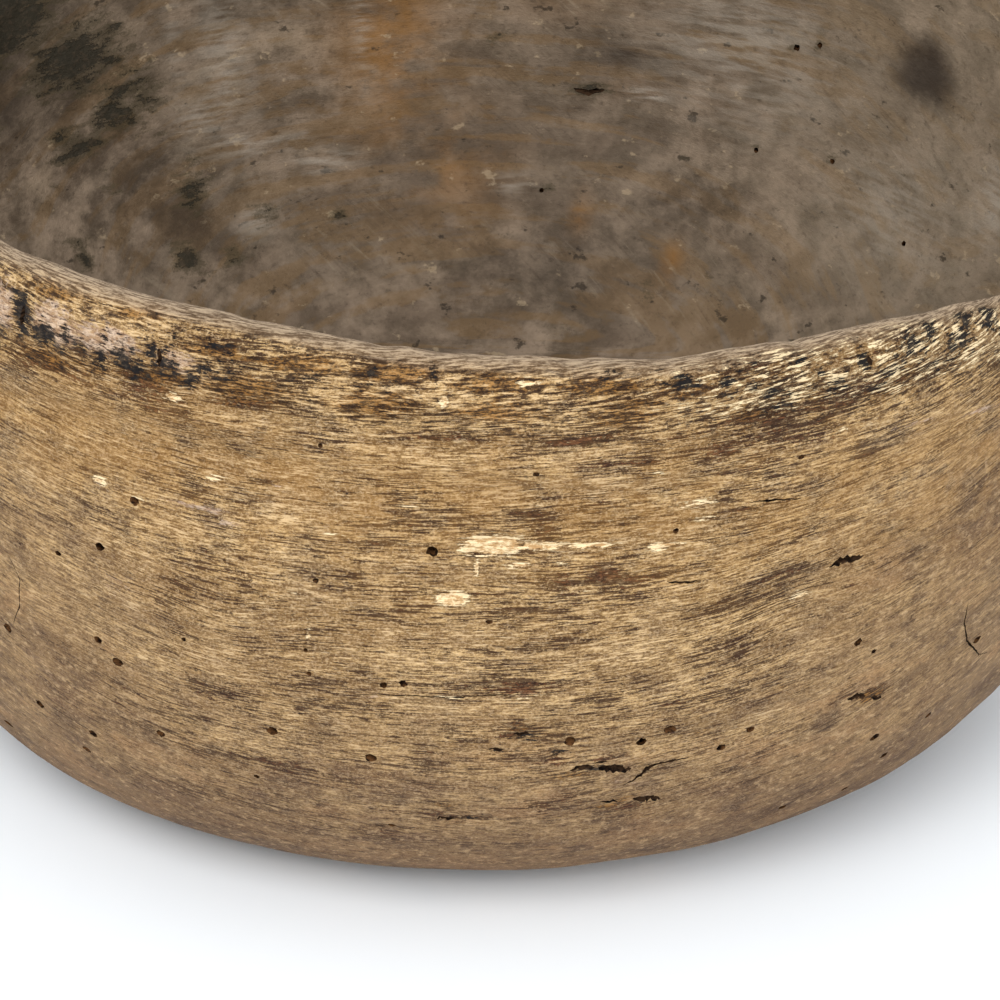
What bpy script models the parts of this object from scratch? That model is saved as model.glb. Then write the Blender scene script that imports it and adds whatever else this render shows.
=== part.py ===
"""Carved wooden bowl, hollowed by hand from one block of timber.

The bowl stands on its flattened underside at Z = 0 and is centred on its own
outline. The block's grain runs along X. Azimuths are measured in degrees from
the front of the bowl (-Y) towards +X. All sizes are in metres.
"""
import math

import bmesh
import bpy
from mathutils import Vector, noise

# Overall size
LIP_RADIUS = 0.150
LIP_HEIGHT = 0.138
LIP_THICKNESS = 0.0105
ACROSS_GRAIN_SHRINKAGE = 0.014

# Outside: a flat worn patch, a faint rise, then a rounded turn up to a steep wall
WORN_PATCH_RADIUS = 0.076
TURN_START_RADIUS = 0.092
TURN_START_HEIGHT = 0.0014
OUTER_RADIAL_POWER = 0.935
OUTER_HEIGHT_POWER = 0.913
OUTER_SECTIONS = 15

# Hollow: a dished floor, then a rounded turn up to the lip
FLOOR_HEIGHT = 0.0175
FLOOR_DISH = 0.0030
FLOOR_RADIUS = 0.068
INNER_RADIAL_POWER = 0.94
INNER_HEIGHT_POWER = 0.90
INNER_SECTIONS = 13

# Thickened band left standing under the lip
BAND_DEPTH = 0.018
BAND_FADE = 0.008
BAND_SWELL = 0.0017

# Hand-cut unevenness: azimuth in degrees, lift or depth, angular spread in degrees
LIP_LOBES = (
    (-55.0, 0.0120, 23.0),
    (-17.0, 0.0020, 8.5),
    (40.0, -0.0034, 22.0),
    (50.0, -0.0052, 7.5),
    (122.0, 0.0030, 30.0),
    (-148.0, 0.0036, 27.0),
    (172.0, -0.0028, 24.0),
)
LIP_DIPS = (
    (14.0, 0.0009, 4.0),
    (78.0, 0.0022, 5.0),
    (103.0, 0.0015, 4.0),
    (151.0, 0.0024, 6.0),
    (-102.0, 0.0020, 5.0),
    (-168.0, 0.0014, 4.0),
)
WANDER_DEPTH = 0.0018
WANDER_SIZE = 0.095
OUTER_FACET_DEPTH = 0.0009
OUTER_FACET_SIZE = 0.034
INNER_FACET_DEPTH = 0.0016
INNER_FACET_SIZE = 0.030
CUTTING_CENTRE = Vector((0.0, 0.0, 0.085))
STILL_BELOW = 0.0020
FREE_ABOVE = 0.0160

SEGMENTS = 84
MERGE_DISTANCE = 0.00001
WOOD_COLOUR = (0.235, 0.145, 0.072, 1.0)
WOOD_ROUGHNESS = 0.68


def smooth_step(low, high, value):
    """Rise from 0 at low to 1 at high along a smooth curve."""
    share = min(max((value - low) / (high - low), 0.0), 1.0)
    return share * share * (3.0 - 2.0 * share)


def bell(azimuth, centre, spread):
    """Bell curve around the bowl, in degrees, that wraps at the back."""
    apart = (azimuth - centre + 180.0) % 360.0 - 180.0
    return math.exp(-0.5 * (apart / spread) ** 2)


def rounded_turn(start, end, radial_power, height_power, turn):
    """Radius and height on a rounded turn from a low start to a steep end."""
    out = math.sin(turn) ** radial_power
    up = 1.0 - max(math.cos(turn), 0.0) ** height_power
    return (start[0] + (end[0] - start[0]) * out, start[1] + (end[1] - start[1]) * up)


def outside_profile():
    """Radius, height and skin share from the underside's centre up to the lip's shoulder."""
    points = [
        (0.0, 0.0, 1.0),
        (0.5 * WORN_PATCH_RADIUS, 0.0, 1.0),
        (WORN_PATCH_RADIUS, 0.0, 1.0),
    ]
    start = (TURN_START_RADIUS, TURN_START_HEIGHT)
    end = (LIP_RADIUS, LIP_HEIGHT - 0.5 * LIP_THICKNESS)
    for step in range(OUTER_SECTIONS + 1):
        turn = 0.5 * math.pi * step / OUTER_SECTIONS
        radius, height = rounded_turn(start, end, OUTER_RADIAL_POWER, OUTER_HEIGHT_POWER, turn)
        points.append((radius, height, 1.0))
    return points


def lip_profile():
    """Rounded lip from the outer shoulder over the crest to the inner shoulder."""
    half = 0.5 * LIP_THICKNESS
    points = []
    for degrees in (36.0, 72.0, 108.0, 144.0):
        angle = math.radians(degrees)
        radius = LIP_RADIUS - half + half * math.cos(angle)
        height = LIP_HEIGHT - half + half * math.sin(angle)
        points.append((radius, height, 1.0 - degrees / 180.0))
    return points


def hollow_profile():
    """Radius, height and skin share from the lip's inner shoulder down to the floor's centre."""
    points = []
    start = (FLOOR_RADIUS, FLOOR_HEIGHT)
    end = (LIP_RADIUS - LIP_THICKNESS, LIP_HEIGHT - 0.5 * LIP_THICKNESS)
    for step in range(INNER_SECTIONS, -1, -1):
        turn = 0.5 * math.pi * step / INNER_SECTIONS
        radius, height = rounded_turn(start, end, INNER_RADIAL_POWER, INNER_HEIGHT_POWER, turn)
        points.append((radius, height, 0.0))
    for share in (0.55, 0.0):
        dish = FLOOR_DISH * (1.0 - share * share)
        points.append((share * FLOOR_RADIUS, FLOOR_HEIGHT - dish, 0.0))
    return points


def lip_lift(azimuth):
    """How far the lip stands above its mean height at an azimuth."""
    lift = sum(height * bell(azimuth, centre, spread) for centre, height, spread in LIP_LOBES)
    worn = sum(depth * bell(azimuth, centre, spread) for centre, depth, spread in LIP_DIPS)
    return lift - worn


def hand_shaped(point, outside):
    """Where the carver's tools, drying and wear left one point of the true round form."""
    azimuth = math.degrees(math.atan2(point.x, -point.y))
    share = point.z / LIP_HEIGHT
    away = (point - CUTTING_CENTRE).normalized()
    push = WANDER_DEPTH * noise.noise(point / WANDER_SIZE + Vector((3.1, 7.7, 1.3)))
    outer_facet = noise.noise(point / OUTER_FACET_SIZE + Vector((11.0, 2.0, 5.0)))
    inner_facet = noise.noise(point / INNER_FACET_SIZE + Vector((4.0, 9.0, 8.0)))
    push += OUTER_FACET_DEPTH * outer_facet * outside
    push += INNER_FACET_DEPTH * inner_facet * (1.0 - outside)
    band = smooth_step(BAND_DEPTH + BAND_FADE, BAND_DEPTH, LIP_HEIGHT - point.z)
    push += BAND_SWELL * band * outside
    if outside > 0.5:
        push *= smooth_step(STILL_BELOW, FREE_ABOVE, point.z)
    moved = point + away * push
    moved.z += lip_lift(azimuth) * smooth_step(0.05, 1.0, share)
    moved.y *= 1.0 - ACROSS_GRAIN_SHRINKAGE
    return moved


def spun_blank():
    """Spin the whole wall section about Z into one closed round blank."""
    blank = bmesh.new()
    skin = blank.verts.layers.float.new("outside")
    section = []
    for radius, height, outside in outside_profile() + lip_profile() + hollow_profile():
        vertex = blank.verts.new((radius, 0.0, height))
        vertex[skin] = outside
        section.append(vertex)
    edges = [blank.edges.new(pair) for pair in zip(section, section[1:])]
    bmesh.ops.spin(
        blank,
        geom=section + edges,
        cent=(0.0, 0.0, 0.0),
        axis=(0.0, 0.0, 1.0),
        angle=2.0 * math.pi,
        steps=SEGMENTS,
        use_merge=True,
    )
    bmesh.ops.remove_doubles(blank, verts=blank.verts[:], dist=MERGE_DISTANCE)
    return blank, skin


def centre_on_outline(blank):
    """Slide the bowl so that its outline is centred on the Z axis."""
    for axis in (0, 1):
        places = [vertex.co[axis] for vertex in blank.verts]
        middle = 0.5 * (min(places) + max(places))
        for vertex in blank.verts:
            vertex.co[axis] -= middle


def wood_material():
    """Plain brown stand-in for old, dry timber."""
    material = bpy.data.materials.new("old_brown_timber")
    material.use_nodes = True
    shader = material.node_tree.nodes["Principled BSDF"]
    shader.inputs["Base Color"].default_value = WOOD_COLOUR
    shader.inputs["Roughness"].default_value = WOOD_ROUGHNESS
    shader.inputs["Metallic"].default_value = 0.0
    return material


def carved_bowl():
    """Carve the blank, flatten its worn patch and add it to the scene."""
    blank, skin = spun_blank()
    for vertex in blank.verts:
        vertex.co = hand_shaped(vertex.co.copy(), vertex[skin])
    centre_on_outline(blank)
    bmesh.ops.recalc_face_normals(blank, faces=blank.faces[:])
    for face in blank.faces:
        face.smooth = True
    mesh = bpy.data.meshes.new("carved_bowl")
    blank.to_mesh(mesh)
    blank.free()
    mesh.materials.append(wood_material())
    bowl = bpy.data.objects.new("carved_bowl", mesh)
    bpy.context.scene.collection.objects.link(bowl)
    return bowl


for leftover in list(bpy.data.objects):
    bpy.data.objects.remove(leftover, do_unlink=True)
carved_bowl()
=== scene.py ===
"""Looks of the carved wooden bowl: dense hand-worn surface, borer holes, cracks, chips and aged timber."""

import math

import bmesh
import bpy
import numpy as np
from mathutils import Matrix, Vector, noise


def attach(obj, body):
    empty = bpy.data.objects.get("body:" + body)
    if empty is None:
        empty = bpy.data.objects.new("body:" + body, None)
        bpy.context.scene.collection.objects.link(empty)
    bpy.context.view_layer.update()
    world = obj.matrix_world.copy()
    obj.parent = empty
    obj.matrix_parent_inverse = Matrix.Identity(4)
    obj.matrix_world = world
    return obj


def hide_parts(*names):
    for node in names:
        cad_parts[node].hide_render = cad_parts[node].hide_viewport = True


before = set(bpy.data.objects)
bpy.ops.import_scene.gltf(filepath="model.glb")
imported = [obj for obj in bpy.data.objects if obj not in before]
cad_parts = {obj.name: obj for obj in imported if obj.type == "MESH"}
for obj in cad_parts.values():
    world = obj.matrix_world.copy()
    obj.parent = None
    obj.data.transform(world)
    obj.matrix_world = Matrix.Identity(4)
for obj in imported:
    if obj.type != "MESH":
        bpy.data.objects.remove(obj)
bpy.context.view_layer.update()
MM = 0.001

# Form of the bowl, the same as in the CAD part
LIP_RADIUS = 0.150
LIP_HEIGHT = 0.138
LIP_THICKNESS = 0.0105
SHRINKAGE = 0.014
PATCH_RADIUS = 0.076
TURN_START = (0.092, 0.0014)
OUTER_POWERS = (0.935, 0.913)
FLOOR_START = (0.068, 0.0175)
FLOOR_DISH = 0.0030
INNER_POWERS = (0.94, 0.90)
BAND_DEPTH = 0.018
BAND_FADE = 0.008
BAND_SWELL = 0.0017
LIP_LOBES = (
    (-55, 0.0120, 23), (-17, 0.0020, 8.5), (40, -0.0034, 22), (50, -0.0052, 7.5), (122, 0.0030, 30),
    (-148, 0.0036, 27), (172, -0.0028, 24),
)
LIP_DIPS = (
    (14, 0.0009, 4), (78, 0.0022, 5), (103, 0.0015, 4), (151, 0.0024, 6), (-102, 0.0020, 5),
    (-168, 0.0014, 4),
)
CUTTING_CENTRE = np.array((0.0, 0.0, 0.085))

# Mesh spacing in metres and degrees, and the wall's mean radius in mm, for distances along it
OUTER_GAP = 1.15 * MM
INNER_GAP = 2.0 * MM
FOOT_GAP = 3.5 * MM
FRONT_HALF_ANGLE = 52.0
FRONT_STEP = 0.46
BACK_COLUMNS = 280
LIP_STEPS = 27
FLOOR_STEPS = 22
WALL_RADIUS_MM = 142.0

# How many marks are scattered where no listed place is, how far apart they keep in mm, and their azimuths
SCATTERED_BORES, BORE_CLEARANCE, BORE_AZIMUTHS = 95, 5.0, (54.0, 306.0)
SCATTERED_CRACKS, CRACK_CLEARANCE, CRACK_AZIMUTHS = 26, 6.0, (58.0, 300.0)
SCATTERED_INNER_BORES, INNER_CLEARANCE, INNER_AZIMUTHS = 16, 8.0, (-118.0, 110.0)
SEED = 407
SHARP_EDGE = math.radians(48.0)


def smooth(low, high, value):
    """Rise from 0 at low to 1 at high along a smooth curve, for arrays."""
    share = np.clip((value - low) / (high - low), 0.0, 1.0)
    return share * share * (3.0 - 2.0 * share)


def turned_from(centre, azimuth):
    """Degrees from one azimuth to another, the short way round."""
    return (azimuth - centre + 180.0) % 360.0 - 180.0


def bell(azimuth, centre, spread):
    """Bell curve around the bowl, in degrees, that wraps at the back."""
    return np.exp(-0.5 * (turned_from(centre, azimuth) / spread) ** 2)


def lattice_noise(points, seed):
    """Smooth gradient noise in about -1..1 for an array of points in lattice units."""
    rng = np.random.default_rng(seed)
    order = rng.permutation(256)
    slopes = rng.normal(size=(256, 3))
    slopes /= np.linalg.norm(slopes, axis=1, keepdims=True)
    base = np.floor(points).astype(int)
    inside = points - base
    ease = inside ** 3 * (inside * (inside * 6.0 - 15.0) + 10.0)
    total = np.zeros(len(points))
    for corner in range(8):
        step = np.array((corner & 1, corner >> 1 & 1, corner >> 2 & 1))
        cell = base + step
        mixed = order[(order[(order[cell[:, 0] % 256] + cell[:, 1]) % 256] + cell[:, 2]) % 256]
        weight = np.prod(np.where(step == 1, ease, 1.0 - ease), axis=1)
        total += weight * np.sum(slopes[mixed] * (inside - step), axis=1)
    return total * 1.6


def relief(points, size, seed, octaves=3, gain=0.5):
    """Fractal noise for points in metres; size is the largest feature, one number or one per axis."""
    total = np.zeros(len(points))
    scale = 1.0
    strength = 1.0
    for octave in range(octaves):
        total += strength * lattice_noise(points * scale / np.asarray(size), seed + octave)
        scale *= 2.03
        strength *= gain
    return total


def lip_lift(azimuth):
    """How far the lip stands above its mean height."""
    lift = sum(height * bell(azimuth, centre, spread) for centre, height, spread in LIP_LOBES)
    worn = sum(depth * bell(azimuth, centre, spread) for centre, depth, spread in LIP_DIPS)
    return lift - worn


def azimuth_of(points):
    """Azimuth in degrees from the front (-Y) towards +X."""
    return np.degrees(np.arctan2(points[:, 0], -points[:, 1]))


def facets(points, size, shift):
    """The CAD part's broad tool marks at these points."""
    moved = points / size + np.array(shift)
    return np.array([noise.noise(Vector(place)) for place in moved])


def hand_shaped(points, outside):
    """Where tools, drying and wear left each point of the true round form."""
    azimuth = azimuth_of(points)
    share = points[:, 2] / LIP_HEIGHT
    away = points - CUTTING_CENTRE
    away /= np.linalg.norm(away, axis=1, keepdims=True)
    push = 0.0018 * facets(points, 0.095, (3.1, 7.7, 1.3))
    push += 0.0009 * facets(points, 0.034, (11.0, 2.0, 5.0)) * outside
    push += 0.0016 * facets(points, 0.030, (4.0, 9.0, 8.0)) * (1.0 - outside)
    push += BAND_SWELL * smooth(BAND_DEPTH + BAND_FADE, BAND_DEPTH, LIP_HEIGHT - points[:, 2]) * outside
    push *= np.where(outside > 0.5, smooth(0.0020, 0.0160, points[:, 2]), 1.0)
    moved = points + away * push[:, None]
    moved[:, 2] += lip_lift(azimuth) * smooth(0.05, 1.0, share)
    moved[:, 1] *= 1.0 - SHRINKAGE
    return moved


def turn_points(start, end, powers, count, first, last):
    """Points on a rounded turn from a low start to a steep end, between two angles in degrees."""
    angle = np.radians(np.linspace(first, last, count))
    out = np.sin(angle) ** powers[0]
    up = 1.0 - np.clip(np.cos(angle), 0.0, 1.0) ** powers[1]
    return start[0] + (end[0] - start[0]) * out, start[1] + (end[1] - start[1]) * up


def spaced(radii, heights, gap):
    """The same curve with points an even distance apart."""
    steps = np.hypot(np.diff(radii), np.diff(heights))
    along = np.concatenate(([0.0], np.cumsum(steps)))
    even = np.linspace(0.0, along[-1], max(2, int(round(along[-1] / gap)) + 1))
    return np.interp(even, along, radii), np.interp(even, along, heights)


SHOULDER = LIP_HEIGHT - 0.5 * LIP_THICKNESS
OUTER_END = (LIP_RADIUS, SHOULDER)
INNER_END = (LIP_RADIUS - LIP_THICKNESS, SHOULDER)
OUTER_CURVE = turn_points(TURN_START, OUTER_END, OUTER_POWERS, 900, 0.0, 90.0)
INNER_CURVE = turn_points(FLOOR_START, INNER_END, INNER_POWERS, 900, 0.0, 90.0)


def wall_section(fine):
    """Radius, height and outside share from the underside's centre, over the lip, to the floor's centre."""
    parts = []
    foot = spaced(np.array((0.0, PATCH_RADIUS, TURN_START[0])), np.array((0.0, 0.0, TURN_START[1])), FOOT_GAP)
    parts.append((foot[0][1:-1], foot[1][1:-1], 1.0))
    wall = spaced(*OUTER_CURVE, OUTER_GAP * fine)
    parts.append((wall[0], wall[1], 1.0))
    half = 0.5 * LIP_THICKNESS
    angle = np.radians(np.linspace(0.0, 180.0, LIP_STEPS)[1:-1])
    over_lip = LIP_RADIUS - half + half * np.cos(angle)
    parts.append((over_lip, SHOULDER + half * np.sin(angle), 1.0 - angle / math.pi))
    hollow = spaced(INNER_CURVE[0][::-1], INNER_CURVE[1][::-1], INNER_GAP * fine)
    parts.append((hollow[0], hollow[1], 0.0))
    share = np.linspace(1.0, 0.0, FLOOR_STEPS)[1:-1]
    parts.append((share * FLOOR_START[0], FLOOR_START[1] - FLOOR_DISH * (1.0 - share ** 2), 0.0))
    radii = np.concatenate([part[0] for part in parts])
    heights = np.concatenate([part[1] for part in parts])
    outside = np.concatenate([np.broadcast_to(part[2], part[0].shape) for part in parts])
    return radii, heights, outside


def columns(fine):
    """Azimuths in degrees of the mesh columns, closer together at the front."""
    front = np.arange(-FRONT_HALF_ANGLE, FRONT_HALF_ANGLE, FRONT_STEP * fine)
    rest = np.linspace(FRONT_HALF_ANGLE, 360.0 - FRONT_HALF_ANGLE, int(BACK_COLUMNS / fine), endpoint=False)
    return np.concatenate((front, rest))


# ---- listed wear, and painted light and shade in the hollow
# Each place: azimuth in degrees, height in mm, reach sideways and upwards in mm, strength.
# The INNER ones are in the hollow, the others on the wall.
CHAR_SPOTS = (
    (-33.4, 138.4, 2.4, 5.6, 1.15), (-31.6, 135, 3.4, 3, 1.15), (-32.5, 130.5, 4, 1.6, 0.8),
    (-28.5, 134, 1.6, 3, 0.8), (-35.6, 134, 2.6, 1.6, 0.8), (-25.2, 133.4, 3, 2.4, 0.9),
    (-21.6, 133.6, 3, 3, 0.9), (-17.4, 134, 3.6, 1.8, 0.75), (-26.5, 138, 0.9, 2.5, 0.6),
    (-25.3, 135, 1.3, 3, 0.9), (-22, 134.5, 1.6, 4, 0.95), (-21.2, 139, 1.2, 2.6, 0.7),
    (-18, 139, 4, 2.6, 0.55), (-16, 136.5, 3, 1.2, 0.7), (-11.5, 136, 3, 2.2, 0.62),
    (-6.5, 135, 6, 1.2, 0.55), (-6.8, 137, 2, 1.4, 0.7), (-2.6, 137.4, 1.4, 1.6, 0.7),
    (3, 135.5, 4, 0.9, 0.5), (10.2, 136, 2.6, 1.2, 0.85), (13.2, 136, 1.6, 1, 0.8),
    (14.8, 133.4, 3.8, 1.5, 1), (18.2, 132.6, 2.2, 2, 0.85), (13.8, 137.2, 1, 1.2, 0.7),
    (17, 136.6, 1.6, 0.9, 0.6), (19.8, 130.6, 2.6, 1.2, 0.9), (21.4, 129.4, 2.6, 1.6, 0.95),
    (23, 128, 2.6, 1, 0.7), (20.6, 135.2, 1.6, 0.9, 0.6), (24, 133.4, 2, 1, 0.7),
    (28.8, 131.4, 1.5, 2.4, 1.05), (31.2, 128.6, 4.2, 2, 1), (26.6, 128.8, 2.6, 1.2, 0.9),
    (33.2, 131.6, 3, 2.6, 1.05), (35.2, 133.2, 2.4, 2.8, 1.05), (37.4, 129.8, 4, 2.4, 1.05),
    (38.8, 133, 3, 1.8, 1), (41.2, 131.4, 3, 2.8, 1), (35, 126.4, 3.2, 1.2, 0.9),
    (43.5, 127.4, 3.4, 2.2, 0.95), (29.4, 125.6, 4, 1, 0.85), (22, 126, 4, 1, 0.85), (25, 131, 1.8, 1.4, 0.9),
    (-29.8, 136.6, 1.2, 3.4, 1), (-24.2, 132.2, 1.2, 3.4, 1.05), (-22.9, 135.6, 1.2, 3.8, 1),
    (-20, 131.4, 1.4, 3.2, 1), (-18.6, 134.8, 2.2, 2, 0.9), (-27, 133.4, 1.6, 2.6, 1),
    (-34.6, 130.6, 3, 1.4, 0.9), (-30.4, 131.6, 2.2, 3.2, 0.8), (-27.2, 131, 2.4, 2.6, 0.8),
    (-23.6, 131.8, 2, 3, 0.8), (-19.6, 133.4, 2.6, 2, 0.8), (10, 45.6, 5, 1.3, 0.95),
    (14.8, 44.2, 3.4, 1.2, 0.85), (14.6, 34.4, 3.4, 1.2, 0.95), (4.4, 55.4, 4, 1.6, 0.85),
    (2.2, 52, 3.4, 1.2, 0.85), (6.8, 50.8, 2.6, 1.2, 0.8), (32.6, 51.4, 3, 1.6, 0.8),
    (-0.6, 31.8, 5, 1.2, 0.85), (-8, 28, 5, 1.4, 0.5), (5.2, 36.4, 3, 1.2, 0.55), (-13.4, 59.6, 3, 1, 0.5),
    (28.8, 88, 3, 1.2, 0.6), (17.6, 88.6, 2.4, 1, 0.62), (21, 86, 3, 1.2, 0.55), (-21.4, 67, 2.2, 1, 0.5),
    (60, 132, 5, 2.6, 0.8), (67, 127, 2.2, 4.5, 0.9), (84, 131, 4, 2.4, 0.8), (96, 134, 6, 2, 0.7),
    (106, 130, 3, 3, 0.9), (118, 134, 2.4, 4.5, 0.9), (131, 131, 5, 2, 0.8), (146, 130, 3, 3.4, 0.9),
    (158, 133, 6, 2, 0.7), (172, 131, 2.6, 4, 0.9), (-170, 133, 4, 3, 0.9), (-154, 136, 7, 2, 0.7),
    (-140, 135, 2.2, 4.5, 0.9), (-128, 134, 3.4, 3, 0.8), (-112, 138, 6, 2, 0.7), (-98, 139, 2.6, 4.5, 0.9),
    (-84, 142, 4, 3, 0.9), (-70, 144, 6, 2.4, 0.8), (-60, 142, 2.4, 5, 0.9), (-50, 143, 4, 3, 0.8),
    (-42, 140, 2, 5, 0.9),
)
STAIN_SPOTS = (
    (-5, 131, 12, 1.6, 0.8), (6, 131, 12, 1.4, 0.8), (-14, 130, 12, 1.8, 0.7), (-25, 127, 14, 1.6, 0.7),
    (-31, 129.4, 10, 2.4, 1.1), (-23, 130, 9, 2.8, 1.1), (-16, 130.4, 8, 2.2, 1), (19, 124.6, 9, 2.4, 1),
    (26, 124.6, 8, 2, 0.9), (-1, 126, 14, 1, 0.9), (8, 124, 10, 0.9, 1.1), (21, 118, 7, 3, 0.8),
    (-21, 125, 10, 1.2, 0.7), (-1.5, 124.6, 11, 0.7, 1), (9.8, 119, 9, 1.2, 1.1), (-4, 118.6, 7, 0.8, 0.9),
    (18, 119, 5, 2.4, 1), (13, 123.4, 10, 0.8, 0.8), (9, 111, 6, 2, 0.8), (19, 113.5, 5, 0.8, 0.8),
    (5, 106, 4, 3.6, 0.7), (-8, 106, 10, 0.8, 0.7), (9.6, 94.2, 5.5, 2.2, 1), (12, 91.4, 4.5, 2, 1),
    (6.6, 92.4, 4, 2.6, 0.8), (16.4, 89.4, 2.4, 0.8, 0.9), (2.6, 87, 3, 1.2, 0.8), (-5, 86.6, 2.4, 1, 0.8),
    (20, 105, 7, 0.8, 0.8), (24, 98, 5, 0.9, 0.7), (30.3, 126.4, 14, 1.8, 0.8), (24, 119, 8, 2, 0.6),
    (4, 68, 9, 2.4, 0.8), (3.2, 57.6, 5, 2.6, 0.95), (14.6, 62, 7, 3, 0.55), (10.5, 47.2, 6, 1.6, 0.7),
    (6.6, 48.6, 4, 1.6, 0.7), (-13, 60, 6, 2, 0.6), (-19, 62, 9, 2.6, 0.45), (-15, 44, 9, 3, 0.5),
    (24, 88, 9, 2, 0.5), (-3, 33, 12, 2.4, 0.9), (-7, 26, 14, 2.6, 0.7), (6, 36, 7, 2.2, 0.7),
    (13, 33, 6, 1.6, 0.8), (33, 52, 6, 3, 0.7), (-22, 33, 12, 3.5, 0.5), (20, 25, 12, 3, 0.5),
    (-30, 55, 9, 2.5, 0.35), (36, 70, 8, 2.4, 0.4), (70, 100, 16, 3, 0.8), (80, 84, 12, 2, 0.8),
    (95, 70, 12, 7, 0.7), (112, 96, 10, 2, 0.8), (128, 110, 14, 2.4, 0.9), (150, 60, 13, 4, 0.8),
    (158, 84, 12, 1.6, 0.9), (175, 96, 15, 2.6, 1), (-172, 70, 12, 4, 0.7), (-165, 118, 14, 2.4, 0.8),
    (-150, 50, 15, 4, 0.8), (-140, 92, 12, 2, 0.8), (-125, 92, 12, 3, 0.8), (-110, 112, 12, 2, 0.8),
    (-95, 60, 11, 7, 0.7), (-80, 84, 12, 2, 0.7), (-70, 108, 14, 3, 0.8), (-60, 50, 11, 4, 0.6),
    (-52, 88, 10, 2, 0.6), (60, 55, 12, 4, 0.6), (54, 84, 9, 2, 0.6),
)
RUST_SPOTS = (
    (-31, 144, 10, 2.2, 0.8), (-24, 143, 8, 1.8, 0.9), (-27, 131, 9, 1.8, 0.7), (-18, 139, 10, 2.6, 0.9),
    (-12, 137.8, 10, 2.4, 1), (-5, 137, 11, 2.4, 1), (2, 135.8, 12, 2.2, 1), (9, 134.4, 10, 2.2, 1),
    (15, 132.6, 8, 2.2, 0.9), (-20, 132.6, 8, 2, 0.6), (8.6, 129.4, 1.2, 1.4, 0.9),
    (-3.4, 113.4, 1.4, 1.2, 0.9), (-31, 130.8, 10, 3, 0.9), (-22, 131.6, 9, 3, 0.9), (8, 44.4, 6, 1.6, 0.7),
    (13, 35.4, 5, 1.8, 0.8), (3.6, 57.8, 6, 2, 0.7), (-2.4, 36, 5, 2, 0.6), (18.4, 52.6, 3, 1.6, 0.7),
    (25, 60, 2.4, 1.4, 0.6), (22, 130.6, 8, 1.8, 0.6), (33, 127.4, 12, 1.8, 0.7), (34.2, 50.4, 4, 2.2, 1),
    (11.4, 33.8, 3, 1.2, 0.9), (6, 56, 5, 2.2, 0.6), (14, 120, 18, 5, 0.35), (-12, 122, 30, 4, 0.3),
    (-16, 132, 12, 4, 0.9), (-7, 131.4, 12, 3.8, 0.9), (2, 130.6, 12, 3.8, 0.9), (11, 128.8, 12, 3.8, 0.85),
    (20, 126.6, 10, 3.2, 0.7), (75, 132, 18, 4, 0.8), (110, 133, 14, 3, 0.8), (150, 131, 20, 4, 0.8),
    (-165, 133, 18, 4, 0.8), (-120, 137, 20, 4, 0.8), (-80, 141, 20, 4, 0.8), (-50, 142, 10, 3, 0.8),
    (100, 60, 14, 6, 0.5), (-130, 70, 14, 6, 0.5),
)
SCUFF_SPOTS = (
    (-36, 139, 7, 5.5, 1.15), (-30.6, 138, 6, 5, 1.1), (-26.4, 136.8, 8, 4.2, 1.05),
    (-21.4, 135.6, 6, 3.6, 0.9), (-28, 106, 3, 1.2, 0.6), (-20.5, 105, 9, 0.9, 0.7),
    (-17, 102.6, 6, 0.9, 0.6), (40, 113, 8, 0.8, 0.8), (34, 116, 7, 0.7, 0.7), (20, 115, 5, 0.6, 0.5),
    (4, 66.2, 6, 1.2, 0.5), (-7, 66, 9, 0.8, 0.5), (-14, 113, 4, 3, 0.4), (-24, 113, 3, 5, 0.4),
    (13, 41, 5, 2.6, 0.4), (-27, 84, 6, 3, 0.35), (80, 136, 12, 2.4, 0.8), (150, 136, 10, 2.4, 0.7),
    (-140, 140, 12, 2.4, 0.8), (-90, 146, 12, 2.4, 0.8),
)
FRESH_SPOTS = (
    (1.6, 101.3, 6.2, 2.3, 1.3), (5, 101, 6, 1, 1.1), (8.5, 100.7, 6, 0.7, 1), (14, 99.4, 3.8, 1, 0.9),
    (-1.4, 89.4, 3.4, 1.9, 1.2), (-1.8, 132.6, 0.9, 1.5, 1), (4, 135.7, 2.2, 0.7, 0.9),
    (-21.3, 128.2, 2, 0.9, 1), (-28.1, 106.4, 2.4, 1, 0.8), (-18.7, 111.7, 2.2, 0.7, 0.75),
    (3.4, 96.8, 3.6, 0.9, 0.85), (0.4, 96.6, 0.6, 2.4, 0.85), (16.4, 108, 5, 0.9, 0.75),
    (6.6, 97.2, 1.8, 0.7, 0.8), (-12.2, 80, 0.8, 2.4, 0.6), (8, 90.8, 3, 0.7, 0.5), (-13, 89, 2, 0.7, 0.5),
    (25.5, 82, 3, 1.6, 0.6), (20, 127.6, 2.2, 0.7, 0.7), (27, 119, 2.4, 0.7, 0.6), (-24.5, 105, 3, 0.7, 0.55),
    (5, 65.6, 6, 0.7, 0.65), (-2, 66.2, 5, 0.6, 0.6), (13, 115.6, 3, 0.7, 0.6), (17, 104, 4, 0.8, 0.6),
    (-10, 103, 3, 0.6, 0.55), (-4, 110, 4, 0.6, 0.5), (31, 124, 3.4, 0.8, 0.7), (-15, 117.6, 3, 0.6, 0.5),
    (10, 106.4, 3, 0.6, 0.55), (76, 96, 8, 1, 0.8), (118, 74, 6, 1.2, 0.7), (146, 108, 10, 1, 0.8),
    (-160, 84, 8, 1.2, 0.9), (-120, 62, 7, 1, 0.7), (-84, 96, 5, 1.5, 0.8),
)
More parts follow.
